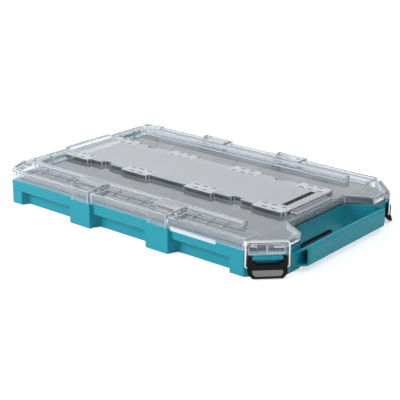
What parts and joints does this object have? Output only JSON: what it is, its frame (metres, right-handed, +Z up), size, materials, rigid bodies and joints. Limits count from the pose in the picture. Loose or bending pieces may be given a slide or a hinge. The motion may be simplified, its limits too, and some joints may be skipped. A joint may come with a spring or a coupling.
{
  "type": "compartment storage box",
  "caption": "Low stackable organizer box: moulded tray with lift-out bins, clear hinged lid with stacking rails, wire-bail corner latches, end grip bar and a sprung stack lock.",
  "frame": {"origin": "on the ground, in the middle of the bounding box in plan", "axes": "+X to the grip bar along the long side, +Y to the rear latch, +Z up out of the lid"},
  "size_m": [0.53, 0.3564, 0.0657],
  "materials": {
    "base_plastic": "satin moulded",
    "lid_clear": "clear moulded",
    "black_plastic": "fine grain",
    "pad_plastic": "fine grain",
    "bin_plastic": "satin moulded",
    "seal_rubber": "matte",
    "steel": "bright drawn wire"
  },
  "bodies": {
    "base": {"base_tray": "base_plastic", "stack_lock_cover": "black_plastic", "stack_lock_screws": "steel", "stack_lock_springs": "steel", "hinge_pin_front": "steel", "hinge_pin_rear": "steel", "latch_pin_front": "steel", "latch_pin_rear": "steel", "bin_front_1": "bin_plastic", "bin_front_2": "bin_plastic", "bin_front_3": "bin_plastic", "bin_front_4": "bin_plastic", "bin_front_5": "bin_plastic", "bin_rear_1": "bin_plastic", "bin_rear_2": "bin_plastic", "bin_rear_3": "bin_plastic", "bin_rear_4": "bin_plastic", "bin_rear_5": "bin_plastic"},
    "lid": {"lid": "lid_clear", "lid_seal": "seal_rubber", "stack_lock_strike": "black_plastic"},
    "lever_front": {"latch_lever_front": "black_plastic", "latch_pad_front": "pad_plastic"},
    "lever_rear": {"latch_lever_rear": "black_plastic", "latch_pad_rear": "pad_plastic"},
    "bail_front": {"latch_bail_front": "steel"},
    "bail_rear": {"latch_bail_rear": "steel"},
    "slider": {"stack_lock_slider": "black_plastic"}
  },
  "joints": [
    {"name": "lid_hinge", "type": "hinge", "parent": "base", "child": "lid", "pos_m": [-0.2615, 0, 0.043], "axis": [0, -1, 0], "range_deg": [0, 100]},
    {"name": "lever_front_hinge", "type": "hinge", "parent": "base", "child": "lever_front", "pos_m": [0.23216, -0.15341, 0.029], "axis": [-0.7071, -0.7071, 0], "range_deg": [0, 110]},
    {"name": "bail_front_hinge", "type": "hinge", "parent": "lever_front", "child": "bail_front", "pos_m": [0.23153, -0.15277, 0.016], "axis": [-0.7071, -0.7071, 0], "range_deg": [-110, 0]},
    {"name": "lever_rear_hinge", "type": "hinge", "parent": "base", "child": "lever_rear", "pos_m": [0.23216, 0.15341, 0.029], "axis": [0.7071, -0.7071, 0], "range_deg": [0, 110]},
    {"name": "bail_rear_hinge", "type": "hinge", "parent": "lever_rear", "child": "bail_rear", "pos_m": [0.23153, 0.15277, 0.016], "axis": [0.7071, -0.7071, 0], "range_deg": [-110, 0]},
    {"name": "stack_lock_slide", "type": "slide", "parent": "base", "child": "slider", "axis": [-1, 0, 0], "range_m": [0, 0.005], "stiffness_N_per_m": 600, "deforming": ["stack_lock_springs"]}
  ],
  "couplings": [
    {"joint": "bail_front_hinge", "follows": "lever_front_hinge", "ratio": -1},
    {"joint": "bail_rear_hinge", "follows": "lever_rear_hinge", "ratio": -1}
  ]
}
